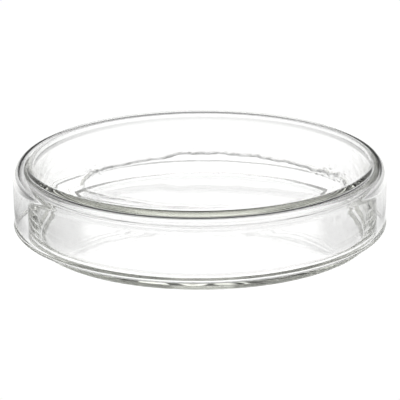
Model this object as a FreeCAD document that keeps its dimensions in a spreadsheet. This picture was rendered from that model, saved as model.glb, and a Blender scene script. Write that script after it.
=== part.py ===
"""Covered glass dish: a shallow straight-walled dish and the loose flat cover that stands over it.

Millimetres, +Z up. The origin is on the table, on the cover's axis. Both pieces are turned profiles.
"""
import FreeCAD, Part
import math
import os
import Sketcher

# alias, millimetres, what it is
DIMENSIONS = [
    ("overall_height", 21.0, "table to the top of the cover"),
    ("cover_diameter", 100.0, "outside of the cover at its shoulder and lip"),
    ("cover_wall", 2.0, "skirt thickness below the shoulder"),
    ("cover_top", 2.0, "thickness of the flat top"),
    ("cover_shoulder", 4.7, "outer radius between the top and the skirt"),
    ("cover_inner_shoulder", 2.2, "inner radius between the top and the skirt"),
    ("cover_lip_height", 3.2, "table to the lowest point of the skirt"),
    ("cover_lip_bead", 0.8, "radius of the fire-polished lower lip"),
    ("cover_waist", 0.25, "how far the skirt draws in above its lip"),
    ("cover_neck", 2.5, "radius of the hollow above the lip"),
    ("dish_diameter", 92.4, "outside of the dish's wall at its foot"),
    ("dish_wall", 1.8, "wall thickness just above the floor corner"),
    ("dish_floor", 2.0, "floor thickness"),
    ("dish_corner", 1.5, "outer radius between the wall and the base"),
    ("dish_inner_corner", 3.0, "inner radius between the wall and the floor"),
    ("dish_rim_diameter", 93.5, "outside of the rim bead"),
    ("dish_rim_bead", 0.9, "radius of the rim bead"),
    ("dish_neck", 3.0, "radius of the hollow under the rim bead"),
    ("dish_draft", 0.2, "how far the outer wall draws in below the rim bead"),
    ("dish_offset", 0.6, "how far the dish stands off the cover's axis, along +X"),
    ("rest_gap", 0.25, "gap between the rim and the flat underside: the shoulder meets the rim first"),
]
MM = {alias: value for alias, value, meaning in DIMENSIONS}

# Sketcher's own numbers for the ends of an edge, the sketch's origin and its vertical axis
START, END, CENTRE = 1, 2, 3
ORIGIN = (-1, START)
VERTICAL_AXIS = -2


def make_sheet(doc):
    """The driving dimensions, one row each: alias, number, meaning."""
    sheet = doc.addObject("Spreadsheet::Sheet", "dims")
    for row, (alias, value, meaning) in enumerate(DIMENSIONS, start=1):
        sheet.set("A%d" % row, alias)
        sheet.set("B%d" % row, str(value))
        sheet.set("C%d" % row, meaning)
        sheet.setAlias("B%d" % row, alias)
    doc.recompute()


def new_body(doc, name):
    """A body with an empty sketch on its own XZ plane: sketch x is the radius, sketch y is the height."""
    body = doc.addObject("PartDesign::Body", name)
    body.Label = name
    plane = next(feature for feature in body.Origin.OriginFeatures if feature.Role == "XZ_Plane")
    sketch = body.newObject("Sketcher::SketchObject", name + "_profile")
    sketch.AttachmentSupport = [(plane, "")]
    sketch.MapMode = "FlatFace"
    return body, sketch


def line(sketch, start, end):
    """A straight edge between two (radius, height) points."""
    segment = Part.LineSegment(FreeCAD.Vector(*start), FreeCAD.Vector(*end))
    return sketch.addGeometry(segment, False)


def arc(sketch, centre, radius, first, last):
    """An edge on a circle, counter-clockwise from the first angle to the last, in degrees."""
    circle = Part.Circle(FreeCAD.Vector(*centre), FreeCAD.Vector(0, 0, 1), radius)
    return sketch.addGeometry(Part.ArcOfCircle(circle, math.radians(first), math.radians(last)), False)


def tangent(sketch, edge, end, other, other_end):
    """Join two edges end to end with no corner."""
    sketch.addConstraint(Sketcher.Constraint("Tangent", edge, end, other, other_end))


def join(sketch, edge, end, other, other_end):
    """Join two edges end to end at a corner."""
    sketch.addConstraint(Sketcher.Constraint("Coincident", edge, end, other, other_end))


def on_axis(sketch, edge, end):
    """Keep an edge's end on the axis of revolution."""
    sketch.addConstraint(Sketcher.Constraint("PointOnObject", edge, end, VERTICAL_AXIS))


def level(sketch, edge):
    """Keep a straight edge horizontal."""
    sketch.addConstraint(Sketcher.Constraint("Horizontal", edge))


def drive(sketch, name, constraint, expression):
    """Add a named dimension and bind it to the sheet."""
    index = sketch.addConstraint(constraint)
    sketch.renameConstraint(index, name)
    sketch.setExpression("Constraints." + name, expression)


def drive_radius(sketch, name, edge, value, expression):
    drive(sketch, name, Sketcher.Constraint("Radius", edge, value), expression)


def drive_across(sketch, name, point, value, expression):
    """Drive a point's distance from the axis."""
    drive(sketch, name, Sketcher.Constraint("DistanceX", *ORIGIN, *point, value), expression)


def drive_up(sketch, name, point, value, expression):
    """Drive a point's height above the table."""
    drive(sketch, name, Sketcher.Constraint("DistanceY", *ORIGIN, *point, value), expression)


def neck_drop(neck, bead, step):
    """Height between the centres of a bead and of the hollow that runs off it, a step to one side."""
    reach = neck + bead
    return math.sqrt(reach ** 2 - (reach - step) ** 2)


def draw_cover(sketch):
    """Half section of the cover, clockwise from the middle of its top."""
    radius = MM["cover_diameter"] / 2
    top = MM["overall_height"]
    under = top - MM["cover_top"]
    shoulder_in = radius - MM["cover_shoulder"]
    shoulder_up = top - MM["cover_shoulder"]
    inner_in = radius - MM["cover_wall"] - MM["cover_inner_shoulder"]
    inner_up = under - MM["cover_inner_shoulder"]
    waist = radius - MM["cover_waist"]
    bead = MM["cover_lip_bead"]
    bead_in = radius - bead
    bead_up = MM["cover_lip_height"] + bead
    neck = MM["cover_neck"]
    drop = neck_drop(neck, bead, MM["cover_waist"])
    neck_up = bead_up + drop
    bite = math.degrees(math.asin(drop / (neck + bead)))

    top_face = line(sketch, (0, top), (shoulder_in, top))
    shoulder = arc(sketch, (shoulder_in, shoulder_up), MM["cover_shoulder"], 0, 90)
    skirt = line(sketch, (radius, shoulder_up), (waist, neck_up))
    hollow = arc(sketch, (waist + neck, neck_up), neck, 180, 180 + bite)
    lip = arc(sketch, (bead_in, bead_up), bead, -180, bite)
    inner_skirt = line(sketch, (bead_in - bead, bead_up), (radius - MM["cover_wall"], inner_up))
    inner_shoulder = arc(sketch, (inner_in, inner_up), MM["cover_inner_shoulder"], 0, 90)
    underside = line(sketch, (inner_in, under), (0, under))
    middle = line(sketch, (0, under), (0, top))

    tangent(sketch, top_face, END, shoulder, END)
    tangent(sketch, shoulder, START, skirt, START)
    tangent(sketch, skirt, END, hollow, START)
    tangent(sketch, hollow, END, lip, END)
    tangent(sketch, lip, START, inner_skirt, START)
    tangent(sketch, inner_skirt, END, inner_shoulder, START)
    tangent(sketch, inner_shoulder, END, underside, START)
    join(sketch, underside, END, middle, START)
    join(sketch, middle, END, top_face, START)
    on_axis(sketch, top_face, START)
    on_axis(sketch, underside, END)
    level(sketch, top_face)
    level(sketch, underside)

    drive_up(sketch, "top", (top_face, START), top, "dims.overall_height")
    drive_up(sketch, "under", (underside, END), under, "dims.overall_height - dims.cover_top")
    drive_radius(sketch, "shoulder", shoulder, MM["cover_shoulder"], "dims.cover_shoulder")
    drive_radius(sketch, "inner_shoulder", inner_shoulder, MM["cover_inner_shoulder"],
                 "dims.cover_inner_shoulder")
    drive_radius(sketch, "neck", hollow, neck, "dims.cover_neck")
    drive_radius(sketch, "lip", lip, bead, "dims.cover_lip_bead")
    drive_across(sketch, "shoulder_in", (shoulder, CENTRE), shoulder_in,
                 "dims.cover_diameter / 2 - dims.cover_shoulder")
    drive_across(sketch, "inner_in", (inner_shoulder, CENTRE), inner_in,
                 "dims.cover_diameter / 2 - dims.cover_wall - dims.cover_inner_shoulder")
    drive_across(sketch, "lip_in", (lip, CENTRE), bead_in, "dims.cover_diameter / 2 - dims.cover_lip_bead")
    drive_up(sketch, "lip_up", (lip, CENTRE), bead_up, "dims.cover_lip_height + dims.cover_lip_bead")
    drive_across(sketch, "waist", (skirt, END), waist, "dims.cover_diameter / 2 - dims.cover_waist")


def draw_dish(sketch):
    """Half section of the dish, from the middle of its floor up the inside, over the rim and down."""
    radius = MM["dish_diameter"] / 2
    floor = MM["dish_floor"]
    inner = MM["dish_inner_corner"]
    inner_in = radius - MM["dish_wall"] - inner
    bead = MM["dish_rim_bead"]
    bead_in = MM["dish_rim_diameter"] / 2 - bead
    bead_up = MM["overall_height"] - MM["cover_top"] - MM["rest_gap"] - bead
    neck = MM["dish_neck"]
    throat = radius - MM["dish_draft"]
    drop = neck_drop(neck, bead, bead_in + bead - throat)
    neck_up = bead_up - drop
    bite = math.degrees(math.asin(drop / (neck + bead)))
    corner = MM["dish_corner"]

    middle = line(sketch, (0, 0), (0, floor))
    floor_face = line(sketch, (0, floor), (inner_in, floor))
    inner_corner = arc(sketch, (inner_in, floor + inner), inner, -90, 0)
    inner_wall = line(sketch, (inner_in + inner, floor + inner), (bead_in - bead, bead_up))
    rim = arc(sketch, (bead_in, bead_up), bead, -bite, 180)
    hollow = arc(sketch, (throat + neck, neck_up), neck, 180 - bite, 180)
    outer_wall = line(sketch, (throat, neck_up), (radius, corner))
    outer_corner = arc(sketch, (radius - corner, corner), corner, -90, 0)
    base = line(sketch, (radius - corner, 0), (0, 0))

    join(sketch, middle, END, floor_face, START)
    tangent(sketch, floor_face, END, inner_corner, START)
    tangent(sketch, inner_corner, END, inner_wall, START)
    tangent(sketch, inner_wall, END, rim, END)
    tangent(sketch, rim, START, hollow, START)
    tangent(sketch, hollow, END, outer_wall, START)
    tangent(sketch, outer_wall, END, outer_corner, END)
    tangent(sketch, outer_corner, START, base, START)
    join(sketch, base, END, middle, START)
    join(sketch, base, END, *ORIGIN)
    on_axis(sketch, floor_face, START)
    level(sketch, floor_face)
    level(sketch, base)

    drive_up(sketch, "floor", (floor_face, START), floor, "dims.dish_floor")
    drive_radius(sketch, "inner_corner", inner_corner, inner, "dims.dish_inner_corner")
    drive_radius(sketch, "rim", rim, bead, "dims.dish_rim_bead")
    drive_radius(sketch, "neck", hollow, neck, "dims.dish_neck")
    drive_radius(sketch, "corner", outer_corner, corner, "dims.dish_corner")
    drive_across(sketch, "inner_in", (inner_corner, CENTRE), inner_in,
                 "dims.dish_diameter / 2 - dims.dish_wall - dims.dish_inner_corner")
    drive_across(sketch, "rim_in", (rim, CENTRE), bead_in, "dims.dish_rim_diameter / 2 - dims.dish_rim_bead")
    drive_up(sketch, "rim_up", (rim, CENTRE), bead_up,
             "dims.overall_height - dims.cover_top - dims.rest_gap - dims.dish_rim_bead")
    drive_across(sketch, "corner_in", (outer_corner, CENTRE), radius - corner,
                 "dims.dish_diameter / 2 - dims.dish_corner")
    drive_across(sketch, "throat", (outer_wall, START), throat, "dims.dish_diameter / 2 - dims.dish_draft")


def revolve(body, sketch):
    """Turn a body's profile through a full circle about the vertical axis."""
    feature = body.newObject("PartDesign::Revolution", body.Label + "_turned")
    feature.Profile = sketch
    feature.ReferenceAxis = (sketch, ["V_Axis"])
    feature.Angle = 360.0
    sketch.Visibility = False


def make_cover(doc):
    """The loose cover: flat top, rounded shoulder, short skirt with a rounded lip."""
    body, sketch = new_body(doc, "cover")
    draw_cover(sketch)
    revolve(body, sketch)
    return body


def make_dish(doc):
    """The lower vessel: flat floor, straight wall, beaded rim. It stands a little off the cover's axis."""
    body, sketch = new_body(doc, "dish")
    draw_dish(sketch)
    revolve(body, sketch)
    body.setExpression("Placement.Base.x", "dims.dish_offset")
    return body


def check_document(doc, parts):
    """Stop if a sketch is loose, an object failed or a part isn't one valid solid."""
    for item in doc.Objects:
        if "Invalid" in item.State or "Error" in item.State:
            raise RuntimeError("%s failed: %s" % (item.Name, item.State))
        if item.TypeId == "Sketcher::SketchObject" and item.solve() != 0:
            raise RuntimeError("%s doesn't solve" % item.Name)
        if item.TypeId == "Sketcher::SketchObject" and not item.FullyConstrained:
            raise RuntimeError("%s isn't fully constrained" % item.Name)
    for part in parts:
        if part.Shape.isNull() or not part.Shape.isValid() or len(part.Shape.Solids) != 1:
            raise RuntimeError("%s isn't one valid solid" % part.Label)


def main():
    doc = FreeCAD.newDocument("covered_dish")
    make_sheet(doc)
    parts = [make_dish(doc), make_cover(doc)]
    doc.recompute()
    check_document(doc, parts)
    os.makedirs("parts", exist_ok=True)
    for part in parts:
        part.Shape.exportStep("parts/%s.step" % part.Label)
        box = part.Shape.optimalBoundingBox()
        print("%s: %.1f cm3, x %.2f to %.2f, z %.2f to %.2f"
              % (part.Label, part.Shape.Volume / 1000, box.XMin, box.XMax, box.ZMin, box.ZMax))


main()
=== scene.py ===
"""Covered glass dish: the dish and its loose cover as clear moulded glass on a pale light table.

Laid out as an add-on. Metres, +Z up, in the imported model's own frame.
"""

import math

import bmesh
import bpy
from mathutils import Matrix, Vector, noise


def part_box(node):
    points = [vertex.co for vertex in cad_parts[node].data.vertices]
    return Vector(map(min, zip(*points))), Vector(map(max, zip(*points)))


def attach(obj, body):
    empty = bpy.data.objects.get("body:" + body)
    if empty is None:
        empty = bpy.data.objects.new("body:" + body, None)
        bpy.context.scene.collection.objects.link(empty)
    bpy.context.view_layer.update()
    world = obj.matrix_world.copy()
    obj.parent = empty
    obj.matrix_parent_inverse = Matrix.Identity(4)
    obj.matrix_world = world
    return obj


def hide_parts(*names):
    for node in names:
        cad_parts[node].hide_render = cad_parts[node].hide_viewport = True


bl_info = {
    "name": "Covered glass dish",
    "version": (1, 0, 0),
    "blender": (4, 5, 0),
    "location": "3D View > Sidebar > Glass dish",
    "description": "Builds a shallow glass dish with its loose glass cover, and a studio for it",
    "category": "Add Mesh",
}

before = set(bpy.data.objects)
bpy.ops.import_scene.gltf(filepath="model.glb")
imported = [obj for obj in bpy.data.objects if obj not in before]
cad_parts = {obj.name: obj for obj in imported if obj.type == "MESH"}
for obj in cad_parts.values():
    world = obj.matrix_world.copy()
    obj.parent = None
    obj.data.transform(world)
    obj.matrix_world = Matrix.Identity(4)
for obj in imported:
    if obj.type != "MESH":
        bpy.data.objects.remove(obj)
COVER_LOW, COVER_HIGH = (Vector(corner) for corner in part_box("cover"))
DISH_LOW, DISH_HIGH = (Vector(corner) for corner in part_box("dish"))
COVER_RADIUS = (COVER_HIGH.x - COVER_LOW.x) / 2
RIM_RADIUS = (DISH_HIGH.x - DISH_LOW.x) / 2
DISH_AXIS = (DISH_LOW.x + DISH_HIGH.x) / 2
AIM_HEIGHT = 0.009      # height above the table that the camera aims at
MM = 0.001


# ---------------------------------------------------------------------------------------------
# Settings
# ---------------------------------------------------------------------------------------------

class CoverSizes(bpy.types.PropertyGroup):
    """Half section of the cover."""

    wall: bpy.props.FloatProperty(
        name="Skirt thickness", description="Glass thickness of the skirt below the shoulder",
        default=0.002, unit="LENGTH")
    top: bpy.props.FloatProperty(
        name="Top thickness", description="Glass thickness of the flat top",
        default=0.002, unit="LENGTH")
    shoulder: bpy.props.FloatProperty(
        name="Shoulder radius", description="Outer radius between the top and the skirt",
        default=0.0047, unit="LENGTH")
    inner_shoulder: bpy.props.FloatProperty(
        name="Inner shoulder radius", description="Inner radius between the top and the skirt",
        default=0.0022, unit="LENGTH")
    lip_bead: bpy.props.FloatProperty(
        name="Lip radius", description="Radius of the fire-polished lower lip",
        default=0.0008, unit="LENGTH")
    waist: bpy.props.FloatProperty(
        name="Waist", description="How far the skirt draws in above its lip",
        default=0.00025, unit="LENGTH")
    neck: bpy.props.FloatProperty(
        name="Neck radius", description="Radius of the hollow above the lip",
        default=0.0025, unit="LENGTH")


class DishSizes(bpy.types.PropertyGroup):
    """Half section of the dish."""

    foot_radius: bpy.props.FloatProperty(
        name="Foot radius", description="Outer radius of the wall at its foot",
        default=0.0462, unit="LENGTH")
    wall: bpy.props.FloatProperty(
        name="Wall thickness", description="Glass thickness just above the floor corner",
        default=0.0018, unit="LENGTH")
    floor: bpy.props.FloatProperty(
        name="Floor thickness", description="Glass thickness of the floor",
        default=0.002, unit="LENGTH")
    corner: bpy.props.FloatProperty(
        name="Corner radius", description="Outer radius between the wall and the base",
        default=0.0015, unit="LENGTH")
    inner_corner: bpy.props.FloatProperty(
        name="Inner corner radius", description="Inner radius between the wall and the floor",
        default=0.003, unit="LENGTH")
    rim_bead: bpy.props.FloatProperty(
        name="Rim radius", description="Radius of the fire-polished rim",
        default=0.0009, unit="LENGTH")
    neck: bpy.props.FloatProperty(
        name="Neck radius", description="Radius of the hollow under the rim",
        default=0.003, unit="LENGTH")
    draft: bpy.props.FloatProperty(
        name="Draft", description="How far the outer wall draws in below the rim",
        default=0.0002, unit="LENGTH")


class FlowLine(bpy.types.PropertyGroup):
    """The closed uneven line that the gather left inside the dish, round its far wall and floor, and the
    painted shade that darkens it.
    """

    ridge: bpy.props.FloatProperty(
        name="Ridge height", description="Height of the sharp part of the line, up on the wall",
        unit="LENGTH", default=0.0007)
    ridge_width: bpy.props.FloatProperty(
        name="Ridge width", description="Half width of the sharp part of the line",
        unit="LENGTH", default=0.00045)
    swell: bpy.props.FloatProperty(
        name="Swell height", description="Height of the soft part of the line, on the floor",
        unit="LENGTH", default=0.00016)
    swell_width: bpy.props.FloatProperty(
        name="Swell width", description="Half width of the soft part of the line",
        unit="LENGTH", default=0.0016)
    # painted shade: along the line the glass's base colour is darkened to grey, standing in for the dark
    # that the line's refraction shows; this is its half width
    painted_shade_width: bpy.props.FloatProperty(
        name="Grey width", description="Half width of the grey, shade_painted glass along the line",
        unit="LENGTH", default=0.00033)
    wander: bpy.props.FloatProperty(
        name="Wander", description="How far the line strays from its path",
        unit="LENGTH", default=0.0005)
    knot: bpy.props.FloatProperty(
        name="Knot height", description="Height of the wrinkled knots in the line",
        unit="LENGTH", default=0.0004)
    ripple: bpy.props.FloatProperty(
        name="Ripple height", description="Height of the long ripples inside the dish",
        unit="LENGTH", default=0.000012)
    corner: bpy.props.FloatProperty(
        name="Corner unevenness",
        description="How far the corner between floor and wall swells and sinks",
        unit="LENGTH", default=0.00012)


class GlassFinish(bpy.types.PropertyGroup):
    """How the glass looks."""

    ior: bpy.props.FloatProperty(
        name="Refractive index", description="Soda-lime glass is about 1.5", default=1.5)
    tint: bpy.props.FloatVectorProperty(
        name="Tint", description="Colour that thick glass takes on", subtype="COLOR",
        size=3, min=0.0, max=1.0, default=(0.78, 0.83, 0.55))
    depth: bpy.props.FloatProperty(
        name="Tint density", description="Absorption per metre of glass", default=2.0)
    polish: bpy.props.FloatProperty(
        name="Roughness", description="Roughness of the least polished patches", default=0.008)
    ripple: bpy.props.FloatProperty(
        name="Fine ripple", description="Height of the fine ripples on the surface",
        unit="LENGTH", default=0.000004)


class StageSettings(bpy.types.PropertyGroup):
    """Camera, floor and light."""

    elevation: bpy.props.FloatProperty(
        name="Elevation", description="Camera's height above the horizon",
        subtype="ANGLE", default=math.radians(18.1))
    distance: bpy.props.FloatProperty(
        name="Distance", description="Camera's distance from the dish", unit="LENGTH", default=0.608)
    lens: bpy.props.FloatProperty(
        name="Lens", description="Focal length in millimetres", default=203.7)
    roll: bpy.props.FloatProperty(
        name="Roll", description="Camera's turn about its own axis",
        subtype="ANGLE", default=math.radians(-0.39))
    floor_light: bpy.props.FloatProperty(
        name="Light table", description="Brightness of the table under the glass", default=1.1)
    contrast: bpy.props.FloatProperty(
        name="Contrast", description="Display gamma; below 1 deepens the greys and keeps white",
        default=0.62)
    bounces: bpy.props.IntProperty(
        name="Bounces", description="How often light may turn inside the glass", default=48)


SETTINGS = {
    "dish_cover": CoverSizes,
    "dish_vessel": DishSizes,
    "dish_flow_line": FlowLine,
    "dish_glass": GlassFinish,
    "dish_stage": StageSettings,
}


# ---------------------------------------------------------------------------------------------
# Turned shapes
# ---------------------------------------------------------------------------------------------

# steps round a turned piece, and the sectors it is made of: a power of two, because turn() doubles them
AROUND = 640
SECTORS = 32


def arc(centre, radius, first, last, steps):
    """Points on a circle from the first angle to the last, in radians."""
    points = []
    for step in range(steps + 1):
        angle = first + (last - first) * step / steps
        points.append((centre[0] + radius * math.cos(angle), centre[1] + radius * math.sin(angle)))
    return points


def straight(start, end, steps):
    """Points between two others, without either end."""
    points = []
    for step in range(1, steps):
        share = step / steps
        points.append((start[0] + (end[0] - start[0]) * share, start[1] + (end[1] - start[1]) * share))
    return points


def settle_order(mesh):
    """Put a bmesh's elements in a fixed order; a spin leaves its faces in another one each run."""
    for place, vert in enumerate(sorted(mesh.verts, key=lambda vert: vert.co[:])):
        vert.index = place
    mesh.verts.sort()
    for elements in (mesh.edges, mesh.faces):
        in_order = sorted(elements, key=lambda element: sorted(vert.index for vert in element.verts))
        for place, element in enumerate(in_order):
            element.index = place
        elements.sort()


def turn(outline, axis_x):
    """A bmesh turned from a (radius, height) outline that starts and ends on the axis.

    One sector is spun and then doubled until it closes, which is much quicker than one full spin.
    """
    mesh = bmesh.new()
    verts = [mesh.verts.new((radius, 0.0, height)) for radius, height in outline]
    edges = [mesh.edges.new(pair) for pair in zip(verts, verts[1:])]
    bmesh.ops.spin(mesh, geom=verts + edges, cent=(0, 0, 0), axis=(0, 0, 1), dvec=(0, 0, 0),
                   angle=2 * math.pi / SECTORS, steps=AROUND // SECTORS, use_duplicate=False)
    share = 2 * math.pi / SECTORS
    while share < 2 * math.pi - 1e-6:
        copy = bmesh.ops.duplicate(mesh, geom=mesh.verts[:] + mesh.edges[:] + mesh.faces[:])
        copied = [part for part in copy["geom"] if isinstance(part, bmesh.types.BMVert)]
        bmesh.ops.rotate(mesh, verts=copied, cent=(0, 0, 0), matrix=Matrix.Rotation(share, 3, "Z"))
        share *= 2
    bmesh.ops.remove_doubles(mesh, verts=mesh.verts[:], dist=1e-6)
    bmesh.ops.translate(mesh, verts=mesh.verts[:], vec=(axis_x, 0, 0))
    settle_order(mesh)
    bmesh.ops.recalc_face_normals(mesh, faces=mesh.faces[:])
    mesh.normal_update()
    return mesh


def finish_piece(mesh, name, material):
    """A smooth-shaded object from a finished bmesh."""
    for face in mesh.faces:
        face.smooth = True
    data = bpy.data.meshes.new(name)
    mesh.to_mesh(data)
    mesh.free()
    data.materials.append(material)
    piece = bpy.data.objects.new(name, data)
    bpy.context.scene.collection.objects.link(piece)
    return piece


def neck_drop(neck, bead, step):
    """Height between the centres of a bead and of the hollow that runs off it, a step to one side."""
    reach = neck + bead
    return math.sqrt(reach ** 2 - (reach - step) ** 2)


def cover_outline(sizes):
    """The cover's half section, from the middle of its top, down the outside and up the inside."""
    radius = COVER_RADIUS
    top = COVER_HIGH.z
    under = top - sizes.top
    inner = sizes.inner_shoulder
    inner_in = radius - sizes.wall - inner
    shoulder_in = radius - sizes.shoulder
    waist = radius - sizes.waist
    bead = sizes.lip_bead
    bead_centre = (radius - bead, COVER_LOW.z + bead)
    drop = neck_drop(sizes.neck, bead, sizes.waist)
    neck_centre = (waist + sizes.neck, bead_centre[1] + drop)
    bite = math.asin(drop / (sizes.neck + bead))

    shoulder = arc((shoulder_in, top - sizes.shoulder), sizes.shoulder, math.pi / 2, 0, 24)
    hollow = arc(neck_centre, sizes.neck, math.pi, math.pi + bite, 8)
    lip = arc(bead_centre, bead, bite, -math.pi, 20)
    inner_shoulder = arc((inner_in, under - inner), inner, 0, math.pi / 2, 18)
    outline = [(0, top)]
    outline += straight((0, top), shoulder[0], 24) + shoulder
    outline += straight(shoulder[-1], hollow[0], 12) + hollow
    outline += lip[1:]
    outline += straight(lip[-1], inner_shoulder[0], 12) + inner_shoulder
    outline += straight(inner_shoulder[-1], (0, under), 24)
    outline += [(0, under)]
    return outline


def dish_outline(sizes):
    """The dish's half section, from the middle of its floor up the inside, over the rim and down."""
    inner = sizes.inner_corner
    inner_in = sizes.foot_radius - sizes.wall - inner
    bead = sizes.rim_bead
    bead_centre = (RIM_RADIUS - bead, DISH_HIGH.z - bead)
    throat = sizes.foot_radius - sizes.draft
    drop = neck_drop(sizes.neck, bead, RIM_RADIUS - throat)
    neck_centre = (throat + sizes.neck, bead_centre[1] - drop)
    bite = math.asin(drop / (sizes.neck + bead))
    corner = sizes.corner

    inner_corner = arc((inner_in, sizes.floor + inner), inner, -math.pi / 2, 0, 24)
    rim = arc(bead_centre, bead, math.pi, -bite, 14)
    hollow = arc(neck_centre, sizes.neck, math.pi - bite, math.pi, 6)
    outer_corner = arc((sizes.foot_radius - corner, corner), corner, 0, -math.pi / 2, 12)
    wall_foot, wall_top = inner_corner[-1], rim[0]
    fine_share = 0.25
    fine_end = tuple(low + (high - low) * fine_share for low, high in zip(wall_foot, wall_top))
    outline = [(0, sizes.floor)]
    outline += straight((0, sizes.floor), inner_corner[0], 44) + inner_corner
    outline += straight(wall_foot, fine_end, 30) + [fine_end] + straight(fine_end, wall_top, 8)
    outline += rim + hollow[1:]
    outline += straight(hollow[-1], outer_corner[0], 8) + outer_corner
    outline += straight(outer_corner[-1], (0, 0), 10)
    outline += [(0, 0)]
    return outline


# ---------------------------------------------------------------------------------------------
# Marks that the making left in the glass
# ---------------------------------------------------------------------------------------------

# The flow line's path, as places on the inside surface laid out flat from the middle of the floor:
# millimetres to the right and to the back. The wall starts 46 mm out.
FLOW_PATH = [(42, 20), (33.5, 33.5), (24, 41.5), (12.5, 46.6), (0, 48.5), (-12.5, 46.2), (-23.6, 40.8),
             (-32.5, 33.5), (-33.5, 27.5), (-20, 17), (0, 11), (20, 12), (36, 15)]
FLOW_MIDDLE = (4, 29)
FLOW_STEPS = 720
FLOW_SMOOTHINGS = 20
# name of the mesh attribute that holds the painted shade along the line: how far the base colour is
# darkened there
FLOW_PAINTED_SHADE = "flow_line_painted_shade"
# the line lies between these distances from its middle, and raises nothing further off it than its reach
FLOW_NEAREST = 0.008
FLOW_FURTHEST = 0.046
FLOW_REACH = 0.006
# where the line is knotted: degrees round its middle from the right, half width in degrees, strength
KNOTS = [(172, 6, 0.8), (112, 5, 0.5), (-5, 11, 1.0)]
# middle and half width of the band round the corner of floor and wall, along the inside surface
CORNER_MIDDLE = 0.044
CORNER_SPREAD = 0.003
# heights between which the long ripples die out on the wall
RIPPLES_FADE = 0.011
RIPPLES_END = 0.015


def smooth_step(value, low, high):
    """A smooth rise from 0 at low to 1 at high."""
    share = min(max((value - low) / (high - low), 0.0), 1.0)
    return share * share * (3 - 2 * share)


def smooth_radius(before, low, high, after, angle):
    """Radius at an angle between the stops low and high, smooth through the stops on either side."""
    span = high[0] - low[0]
    share = (angle - low[0]) / span
    rest = 1 - share
    slope_low = (high[1] - before[1]) / (high[0] - before[0]) * span
    slope_high = (after[1] - low[1]) / (after[0] - low[0]) * span
    return (low[1] * (1 + 2 * share) * rest ** 2 + slope_low * share * rest ** 2
            + high[1] * share ** 2 * (3 - 2 * share) - slope_high * share ** 2 * rest)


def flow_radii():
    """The flow line's distance from its middle, in metres, at even steps round it."""
    turn_round = 2 * math.pi
    places = [(x - FLOW_MIDDLE[0], y - FLOW_MIDDLE[1]) for x, y in FLOW_PATH]
    stops = sorted((math.atan2(y, x) % turn_round, math.hypot(x, y) * MM) for x, y in places)
    last_two = [(angle - turn_round, radius) for angle, radius in stops[-2:]]
    first_two = [(angle + turn_round, radius) for angle, radius in stops[:2]]
    stops = last_two + stops + first_two
    radii = []
    for step in range(FLOW_STEPS):
        angle = turn_round * step / FLOW_STEPS
        for before, low, high, after in zip(stops, stops[1:], stops[2:], stops[3:]):
            if low[0] <= angle < high[0]:
                radii.append(smooth_radius(before, low, high, after, angle))
                break
    for _ in range(FLOW_SMOOTHINGS):
        radii = [(radii[step - 1] + 2 * radii[step] + radii[(step + 1) % FLOW_STEPS]) / 4
                 for step in range(FLOW_STEPS)]
    return radii


def surface_distance(radius, height, sizes):
    """Distance along the inside surface from the middle of the floor."""
    inner = sizes.inner_corner
    inner_in = sizes.foot_radius - sizes.wall - inner
    if radius <= inner_in:
        return radius
    if height >= sizes.floor + inner:
        return inner_in + inner * math.pi / 2 + height - sizes.floor - inner
    return inner_in + inner * math.atan2(radius - inner_in, sizes.floor + inner - height)


def flow_line_at(across, back, line, radii):
    """How far the inside surface stands proud at a place on it, and how dark the painted shade on the
    line is there.
    """
    offset_x = across - FLOW_MIDDLE[0] * MM
    offset_y = back - FLOW_MIDDLE[1] * MM
    out = math.hypot(offset_x, offset_y)
    if out < FLOW_NEAREST or out > FLOW_FURTHEST:
        return 0.0, 0.0
    angle = math.atan2(offset_y, offset_x)
    step = int(angle / (2 * math.pi) * FLOW_STEPS) % FLOW_STEPS
    target = radii[step]
    eight_steps = 8 * 2 * math.pi / FLOW_STEPS
    steepness = (radii[(step + 4) % FLOW_STEPS] - radii[step - 4]) / eight_steps / target
    round_line = Vector((math.cos(angle), math.sin(angle), 0))
    stray = line.wander * (noise.noise(round_line * 3.1) + 0.45 * noise.noise(round_line * 11.0))
    away = (out - target) / math.sqrt(1 + steepness ** 2) - stray
    if abs(away) > FLOW_REACH:
        return 0.0, 0.0
    sharp = smooth_step(math.sin(angle), -0.35, 0.05)
    uneven = 0.8 + 0.6 * noise.noise(round_line * 6.3)
    ridge = line.ridge * uneven * math.exp(-(away / line.ridge_width) ** 2)
    swell = line.swell * math.exp(-(away / line.swell_width) ** 2)
    height = sharp * ridge + (1 - sharp) * swell
    # painted shade: the sharp part of the line gets a darkened base colour, patchy along its length, in
    # place of the dark that its refraction shows
    patchy = 0.75 + 0.5 * noise.noise(round_line * 13)
    grey = sharp * math.exp(-(away / line.painted_shade_width) ** 2) * patchy
    for middle, spread, strength in KNOTS:
        turned = (math.degrees(angle) - middle + 180) % 360 - 180
        near = math.exp(-(turned / spread) ** 2 - (away / (4 * line.ridge_width)) ** 2)
        if near > 0.01:
            wrinkle = noise.noise(Vector((across, back, 0)) / MM)
            height += line.knot * strength * near * wrinkle
            # the knots darken the painted shade as well
            grey += strength * near * smooth_step(wrinkle, 0.12, 0.4)
    return height, min(max(grey, 0.0), 1.0)


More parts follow.
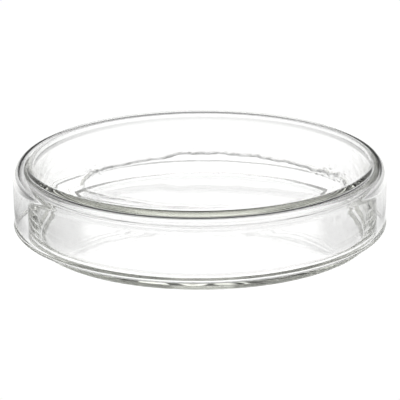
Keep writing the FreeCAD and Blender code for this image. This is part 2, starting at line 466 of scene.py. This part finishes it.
def mark_inside(mesh, sizes, line):
    """Raise the flow line, the uneven corner and the long ripples on the inside of the dish, and store
    the painted shade along the flow line.
    """
    half_wall = sizes.foot_radius - sizes.wall / 2
    radii = flow_radii()
    # each vertex keeps how far the painted shade darkens the base colour there
    painted_shades = mesh.verts.layers.float.new(FLOW_PAINTED_SHADE)
    for vert in mesh.verts:
        x, y, z = vert.co.x - DISH_AXIS, vert.co.y, vert.co.z
        radius = math.hypot(x, y)
        if radius > half_wall or z < sizes.floor - 1e-6 or z > DISH_HIGH.z - 2 * sizes.rim_bead:
            continue
        along = surface_distance(radius, z, sizes)
        scale = along / radius if radius > 0 else 1.0
        place = Vector((x * scale, y * scale, 0))
        fade = 1 - smooth_step(z, RIPPLES_FADE, RIPPLES_END)
        ripple = noise.noise(place / (11 * MM)) + 0.4 * noise.noise(place / (4.5 * MM))
        in_corner = math.exp(-((along - CORNER_MIDDLE) / CORNER_SPREAD) ** 2)
        uneven = noise.noise(place / (9 * MM)) + 0.5 * noise.noise(place / (4 * MM))
        corner = line.corner * in_corner * uneven
        height, grey = flow_line_at(place.x, place.y, line, radii)
        vert.co += vert.normal * (corner + height + line.ripple * fade * ripple)
        vert[painted_shades] = grey


# ---------------------------------------------------------------------------------------------
# Glass
# ---------------------------------------------------------------------------------------------

def glass_material(name, finish, has_flow_line=False):
    """Clear moulded glass: fine ripples, slightly uneven polish, a faint tint in its depth.

    Along the dish's flow line the base colour is darkened to grey as far as the mesh's attribute says:
    painted shade, standing in for the dark that the line's refraction shows.
    """
    material = bpy.data.materials.new(name)
    material.use_nodes = True
    tree = material.node_tree
    shader = tree.nodes["Principled BSDF"]
    shader.inputs["Base Color"].default_value = (1, 1, 1, 1)
    shader.inputs["IOR"].default_value = finish.ior
    shader.inputs["Transmission Weight"].default_value = 1.0

    place = tree.nodes.new("ShaderNodeTexCoord")
    ripples = tree.nodes.new("ShaderNodeTexNoise")
    ripples.inputs["Scale"].default_value = 110
    ripples.inputs["Detail"].default_value = 1
    bump = tree.nodes.new("ShaderNodeBump")
    bump.inputs["Strength"].default_value = 1.0
    bump.inputs["Distance"].default_value = finish.ripple
    tree.links.new(place.outputs["Object"], ripples.inputs["Vector"])
    tree.links.new(ripples.outputs["Fac"], bump.inputs["Height"])
    tree.links.new(bump.outputs["Normal"], shader.inputs["Normal"])

    patches = tree.nodes.new("ShaderNodeTexNoise")
    patches.inputs["Scale"].default_value = 45
    patches.inputs["Detail"].default_value = 3
    polish = tree.nodes.new("ShaderNodeMapRange")
    polish.inputs["From Min"].default_value = 0.5
    polish.inputs["From Max"].default_value = 0.8
    polish.inputs["To Min"].default_value = 0.0
    polish.inputs["To Max"].default_value = finish.polish
    tree.links.new(place.outputs["Object"], patches.inputs["Vector"])
    tree.links.new(patches.outputs["Fac"], polish.inputs["Value"])
    tree.links.new(polish.outputs["Result"], shader.inputs["Roughness"])

    # painted shade: the flow line's attribute mixes the base colour from white towards near black
    if has_flow_line:
        line = tree.nodes.new("ShaderNodeAttribute")
        line.attribute_name = FLOW_PAINTED_SHADE
        painted_shade_mix = tree.nodes.new("ShaderNodeMix")
        painted_shade_mix.data_type = "RGBA"
        painted_shade_mix.inputs["A"].default_value = (1, 1, 1, 1)
        painted_shade_mix.inputs["B"].default_value = (0.05, 0.05, 0.05, 1)
        tree.links.new(line.outputs["Fac"], painted_shade_mix.inputs["Factor"])
        tree.links.new(painted_shade_mix.outputs["Result"], shader.inputs["Base Color"])

    depth = tree.nodes.new("ShaderNodeVolumeAbsorption")
    depth.inputs["Color"].default_value = (*finish.tint, 1)
    depth.inputs["Density"].default_value = finish.depth
    tree.links.new(depth.outputs["Volume"], tree.nodes["Material Output"].inputs["Volume"])
    return material


# ---------------------------------------------------------------------------------------------
# Studio
# ---------------------------------------------------------------------------------------------

FLOOR_RADIUS = 3.0
FLOOR_DROP = 0.0002     # the floor lies this far under the glass, and the light table as far again
WHITE = 1.02            # just over display white, so that floor and sky show as one plain white


def maths(tree, operation, first, second=None):
    """A Math node fed by sockets or numbers."""
    node = tree.nodes.new("ShaderNodeMath")
    node.operation = operation
    for socket, value in zip(node.inputs, (first, second)):
        if value is None:
            continue
        if isinstance(value, bpy.types.NodeSocket):
            tree.links.new(value, socket)
        else:
            socket.default_value = value
    return node.outputs["Value"]


def ramp(tree, value, stops):
    """A soft ramp of greys over (position, brightness) stops; positions run from 0 to 1."""
    node = tree.nodes.new("ShaderNodeValToRGB")
    node.color_ramp.interpolation = "EASE"
    elements = node.color_ramp.elements
    for element, (position, grey) in zip(elements, (stops[0], stops[-1])):
        element.position = position
        element.color = (grey, grey, grey, 1)
    for position, grey in stops[1:-1]:
        elements.new(position).color = (grey, grey, grey, 1)
    tree.links.new(value, node.inputs["Fac"])
    return node.outputs["Color"]


def disc(name, height, radius, material):
    """A flat round sheet of the studio floor."""
    mesh = bmesh.new()
    bmesh.ops.create_circle(mesh, cap_ends=True, segments=96, radius=radius)
    bmesh.ops.translate(mesh, verts=mesh.verts[:], vec=(0, 0, height))
    data = bpy.data.meshes.new(name)
    mesh.to_mesh(data)
    mesh.free()
    data.materials.append(material)
    sheet = bpy.data.objects.new(name, data)
    bpy.context.scene.collection.objects.link(sheet)
    return sheet


def glow(name, strength):
    """A plain white material that gives its own light."""
    material = bpy.data.materials.new(name)
    material.use_nodes = True
    tree = material.node_tree
    shader = tree.nodes["Principled BSDF"]
    shader.inputs["Base Color"].default_value = (0, 0, 0, 1)
    shader.inputs["Specular IOR Level"].default_value = 0.0
    shader.inputs["Roughness"].default_value = 1.0
    shader.inputs["Emission Color"].default_value = (1, 1, 1, 1)
    shader.inputs["Emission Strength"].default_value = strength
    return material


def table_glow(strength):
    """The light table as the glass sees it.

    It is dimmer close in at both sides and far off in the back corners, and a little brighter in front.
    """
    material = glow("light_table", strength)
    tree = material.node_tree
    place = tree.nodes.new("ShaderNodeTexCoord").outputs["Object"]
    axes = tree.nodes.new("ShaderNodeSeparateXYZ")
    tree.links.new(place, axes.inputs["Vector"])
    across, back = axes.outputs["X"], axes.outputs["Y"]
    across_squared = maths(tree, "MULTIPLY", across, across)
    back_squared = maths(tree, "MULTIPLY", back, back)
    radius_squared = maths(tree, "ADD", maths(tree, "ADD", across_squared, back_squared), 1e-9)
    radius = maths(tree, "SQRT", radius_squared)

    sideways = maths(tree, "POWER", maths(tree, "DIVIDE", across_squared, radius_squared), 3.0)
    near_ring = ramp(tree, maths(tree, "DIVIDE", radius, 0.2),
                     [(0.26, 0.0), (0.3, 0.9), (0.37, 0.9), (0.43, 0.4), (0.6, 0.3), (0.9, 0.0)])
    from_left = maths(tree, "ADD", maths(tree, "DIVIDE", across, 0.2), 0.5)
    side = ramp(tree, from_left, [(0.4, 0.75), (0.6, 0.5)])
    near = maths(tree, "MULTIPLY", maths(tree, "MULTIPLY", sideways, near_ring), side)

    corner = maths(tree, "MULTIPLY", across_squared, back_squared)
    corner = maths(tree, "DIVIDE", corner, maths(tree, "MULTIPLY", radius_squared, radius_squared))
    from_front = maths(tree, "ADD", back, 0.5)
    behind = ramp(tree, from_front, [(0.5, 0.0), (0.7, 3.2)])
    far = maths(tree, "MULTIPLY", corner, behind)
    far = maths(tree, "MULTIPLY", far, ramp(tree, radius, [(0.15, 0.0), (0.3, 1.0)]))

    front = ramp(tree, from_front, [(0.38, 1.1), (0.46, 1.0)])
    beyond = ramp(tree, back, [(0.12, 1.0), (0.3, 0.75)])
    light = maths(tree, "SUBTRACT", maths(tree, "SUBTRACT", front, near), far)
    light = maths(tree, "MULTIPLY", light, beyond)
    light = maths(tree, "MULTIPLY", light, strength)
    tree.links.new(light, tree.nodes["Principled BSDF"].inputs["Emission Strength"])
    return material


def studio_world():
    """Soft light, graded by direction for the glass and plain white where the camera sees it directly.

    It is dark low down, with a band of light part way up in front and at both sides, bright above the
    front and overhead, and with one small panel straight behind.
    """
    world = bpy.data.worlds.new("studio")
    world.use_nodes = True
    tree = world.node_tree
    direction = tree.nodes.new("ShaderNodeTexCoord").outputs["Generated"]
    axes = tree.nodes.new("ShaderNodeSeparateXYZ")
    tree.links.new(direction, axes.inputs["Vector"])
    across, back, up = axes.outputs["X"], axes.outputs["Y"], axes.outputs["Z"]
    sideways = maths(tree, "ABSOLUTE", across)
    from_front = maths(tree, "MULTIPLY", maths(tree, "ADD", back, 1.0), 0.5)
    from_left = maths(tree, "MULTIPLY", maths(tree, "ADD", across, 1.0), 0.5)

    low = ramp(tree, from_front, [(0.0, 0.08), (0.25, 0.15), (0.5, 0.42), (0.7, 0.1), (1.0, 0.03)])
    low = maths(tree, "MULTIPLY", low, ramp(tree, from_left, [(0.0, 0.4), (0.5, 1.0)]))
    horizon_round = ramp(tree, from_front, [(0.0, 0.15), (0.3, 0.2), (0.5, 0.55), (0.9, 0.12)])
    horizon = maths(tree, "MULTIPLY", ramp(tree, up, [(0.09, 1.0), (0.15, 0.0)]), horizon_round)

    side_band = ramp(tree, up, [(0.34, 0.0), (0.39, 0.65), (0.47, 0.65), (0.52, 0.0)])
    side_band = maths(tree, "MULTIPLY", side_band, ramp(tree, sideways, [(0.4, 0.0), (0.55, 1.0)]))
    front_band = ramp(tree, up, [(0.2, 0.0), (0.24, 1.0), (0.36, 1.0), (0.5, 0.3)])
    front_band = maths(tree, "MULTIPLY", front_band, ramp(tree, from_front, [(0.25, 1.0), (0.5, 0.3)]))
    bands = maths(tree, "MAXIMUM", side_band, front_band)

    high = ramp(tree, up, [(0.3, 0.0), (0.65, 1.0)])
    high = maths(tree, "MULTIPLY", high, ramp(tree, from_front, [(0.5, 1.2), (0.7, 0.0)]))
    overhead = ramp(tree, up, [(0.9, 0.0), (0.97, 0.9)])

    panel_height = ramp(tree, up, [(0.0, 0.35), (0.12, 0.2), (0.25, 1.0), (0.35, 1.0), (0.39, 0.0)])
    panel = maths(tree, "MULTIPLY", ramp(tree, sideways, [(0.09, 1.0), (0.14, 0.0)]), panel_height)
    panel = maths(tree, "MULTIPLY", panel, ramp(tree, back, [(0.0, 0.0), (0.2, 1.0)]))

    light = low
    for part in (horizon, bands, high, overhead, panel):
        light = maths(tree, "MAXIMUM", light, part)

    seen = tree.nodes.new("ShaderNodeLightPath").outputs["Is Camera Ray"]
    light = maths(tree, "MAXIMUM", light, seen)
    tree.links.new(light, tree.nodes["Background"].inputs["Color"])
    tree.nodes["Background"].inputs["Strength"].default_value = WHITE
    return world


# ---------------------------------------------------------------------------------------------
# Operators
# ---------------------------------------------------------------------------------------------

class GLASSDISH_OT_dish(bpy.types.Operator):
    """Build the lower dish"""
    bl_idname = "glassdish.dish"
    bl_label = "Dish"

    def execute(self, context):
        sizes = context.scene.dish_vessel
        mesh = turn(dish_outline(sizes), DISH_AXIS)
        mark_inside(mesh, sizes, context.scene.dish_flow_line)
        material = glass_material("dish_glass", context.scene.dish_glass, has_flow_line=True)
        piece = finish_piece(mesh, "glass_dish", material)
        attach(piece, "dish")
        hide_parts("dish")
        return {"FINISHED"}


class GLASSDISH_OT_cover(bpy.types.Operator):
    """Build the loose cover"""
    bl_idname = "glassdish.cover"
    bl_label = "Cover"

    def execute(self, context):
        mesh = turn(cover_outline(context.scene.dish_cover), (COVER_LOW.x + COVER_HIGH.x) / 2)
        piece = finish_piece(mesh, "glass_cover", glass_material("cover_glass", context.scene.dish_glass))
        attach(piece, "cover")
        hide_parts("cover")
        return {"FINISHED"}


class GLASSDISH_OT_stage(bpy.types.Operator):
    """Set the camera, the floor and the light"""
    bl_idname = "glassdish.stage"
    bl_label = "Studio"

    def execute(self, context):
        scene = context.scene
        settings = scene.dish_stage
        scene.view_settings.view_transform = "Standard"
        scene.view_settings.gamma = settings.contrast
        scene.cycles.max_bounces = settings.bounces
        scene.cycles.transmission_bounces = settings.bounces
        scene.cycles.glossy_bounces = settings.bounces

        floor = disc("floor", -FLOOR_DROP, FLOOR_RADIUS, glow("floor_white", WHITE))
        floor.visible_transmission = False
        floor.visible_glossy = False
        table = disc("light_table", -2 * FLOOR_DROP, FLOOR_RADIUS, table_glow(settings.floor_light))
        table.visible_camera = False
        scene.world = studio_world()

        camera_data = bpy.data.cameras.new("camera")
        camera_data.lens = settings.lens
        camera_data.sensor_width = 36.0
        camera = bpy.data.objects.new("camera", camera_data)
        scene.collection.objects.link(camera)
        aim = Matrix.Translation((0, 0, AIM_HEIGHT))
        tilt = Matrix.Rotation(math.pi / 2 - settings.elevation, 4, "X")
        back = Matrix.Translation((0, 0, settings.distance))
        roll = Matrix.Rotation(settings.roll, 4, "Z")
        camera.matrix_world = aim @ tilt @ back @ roll
        scene.camera = camera
        return {"FINISHED"}


class GLASSDISH_PT_panel(bpy.types.Panel):
    """The dish's operators and settings"""
    bl_label = "Covered glass dish"
    bl_space_type = "VIEW_3D"
    bl_region_type = "UI"
    bl_category = "Glass dish"

    def draw(self, context):
        for operator in OPERATORS:
            self.layout.operator(operator.bl_idname)


OPERATORS = (GLASSDISH_OT_dish, GLASSDISH_OT_cover, GLASSDISH_OT_stage)


def register():
    for group in SETTINGS.values():
        bpy.utils.register_class(group)
    for operator in OPERATORS:
        bpy.utils.register_class(operator)
    bpy.utils.register_class(GLASSDISH_PT_panel)
    for name, group in SETTINGS.items():
        setattr(bpy.types.Scene, name, bpy.props.PointerProperty(type=group))


def unregister():
    for name in SETTINGS:
        delattr(bpy.types.Scene, name)
    bpy.utils.unregister_class(GLASSDISH_PT_panel)
    for operator in reversed(OPERATORS):
        bpy.utils.unregister_class(operator)
    for group in reversed(SETTINGS.values()):
        bpy.utils.unregister_class(group)


def main():
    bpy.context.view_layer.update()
    register()
    bpy.ops.glassdish.dish()
    bpy.ops.glassdish.cover()
    bpy.ops.glassdish.stage()


if __name__ == "__main__":
    main()
